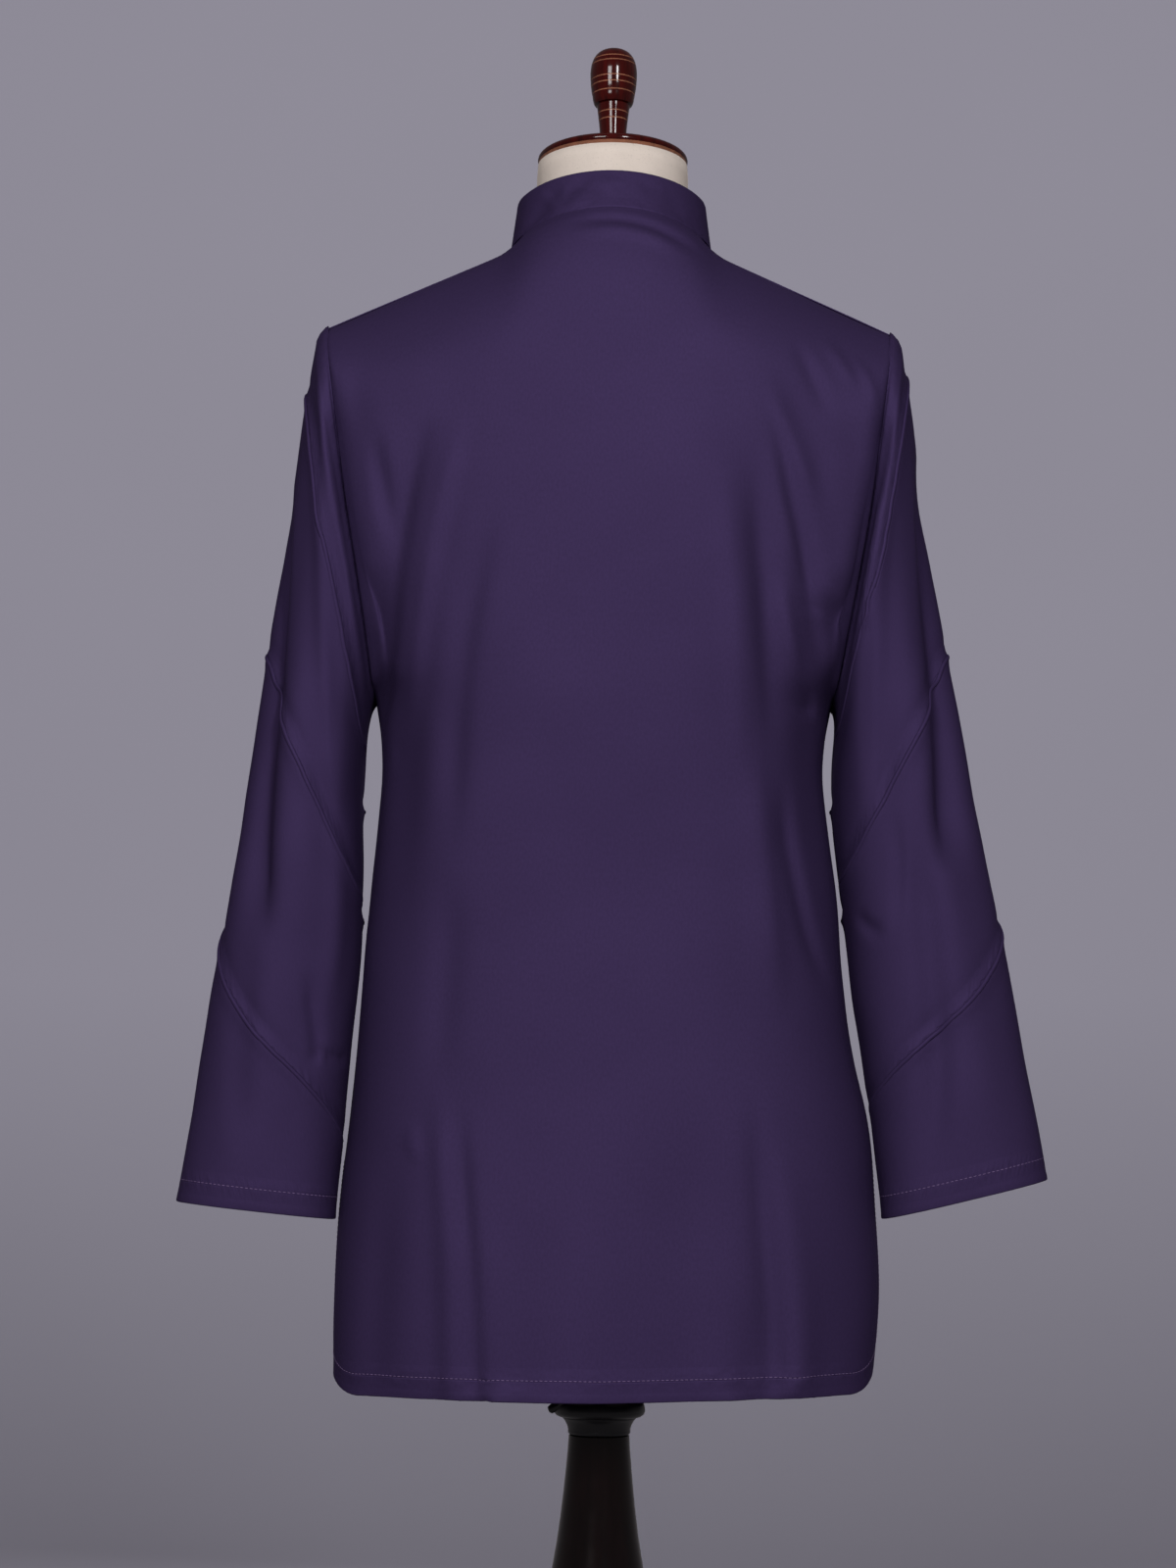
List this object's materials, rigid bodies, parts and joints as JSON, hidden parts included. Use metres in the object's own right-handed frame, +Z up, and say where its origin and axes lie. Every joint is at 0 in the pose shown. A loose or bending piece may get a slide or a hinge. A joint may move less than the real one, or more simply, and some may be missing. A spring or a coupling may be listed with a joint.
{
  "type": "kurta on a dress form stand",
  "caption": "Short long-sleeved kurta with a stand collar and stitched diagonal sleeve tucks, worn by a limbless dress form on a turned wooden stand with a clamped mast.",
  "frame": {"origin": "centre of the base's underside, on the floor under the mast", "axes": "+Z up along the mast; the garment's front faces -Y and its back +Y; +X is the wearer's left"},
  "size_m": [0.669, 0.38, 1.683],
  "materials": {
    "cloth": "matt",
    "button": "satin",
    "canvas": "matt",
    "lacquer": "gloss",
    "dark_wood": "gloss",
    "black_metal": "satin",
    "steel": "satin"
  },
  "bodies": {
    "stand": {"base": "dark_wood", "column": "dark_wood", "ferrule": "black_metal", "column_cap": "black_metal", "mast_clamp": "black_metal"},
    "form": {"form_torso": "canvas", "neck_cap": "lacquer", "finial": "lacquer", "mast": "steel", "panel_back": "cloth", "panel_front": "cloth", "collar": "cloth", "placket": "cloth", "sleeve_left": "cloth", "sleeve_right": "cloth", "tuck_left_a": "cloth", "tuck_left_b": "cloth", "tuck_left_c": "cloth", "tuck_right_a": "cloth", "tuck_right_b": "cloth", "tuck_right_c": "cloth", "button_1": "button", "button_2": "button", "button_3": "button", "button_4": "button"},
    "lever": {"clamp_lever": "black_metal"}
  },
  "joints": [
    {"name": "mast_slide", "type": "slide", "parent": "stand", "child": "form", "axis": [0, 0, 1], "range_m": [-0.06, 0.12]},
    {"name": "lever_turn", "type": "hinge", "parent": "stand", "child": "lever", "pos_m": [0, 0.0318, 0.62], "axis": [0, 1, 0], "range_deg": [-90, 0]}
  ]
}
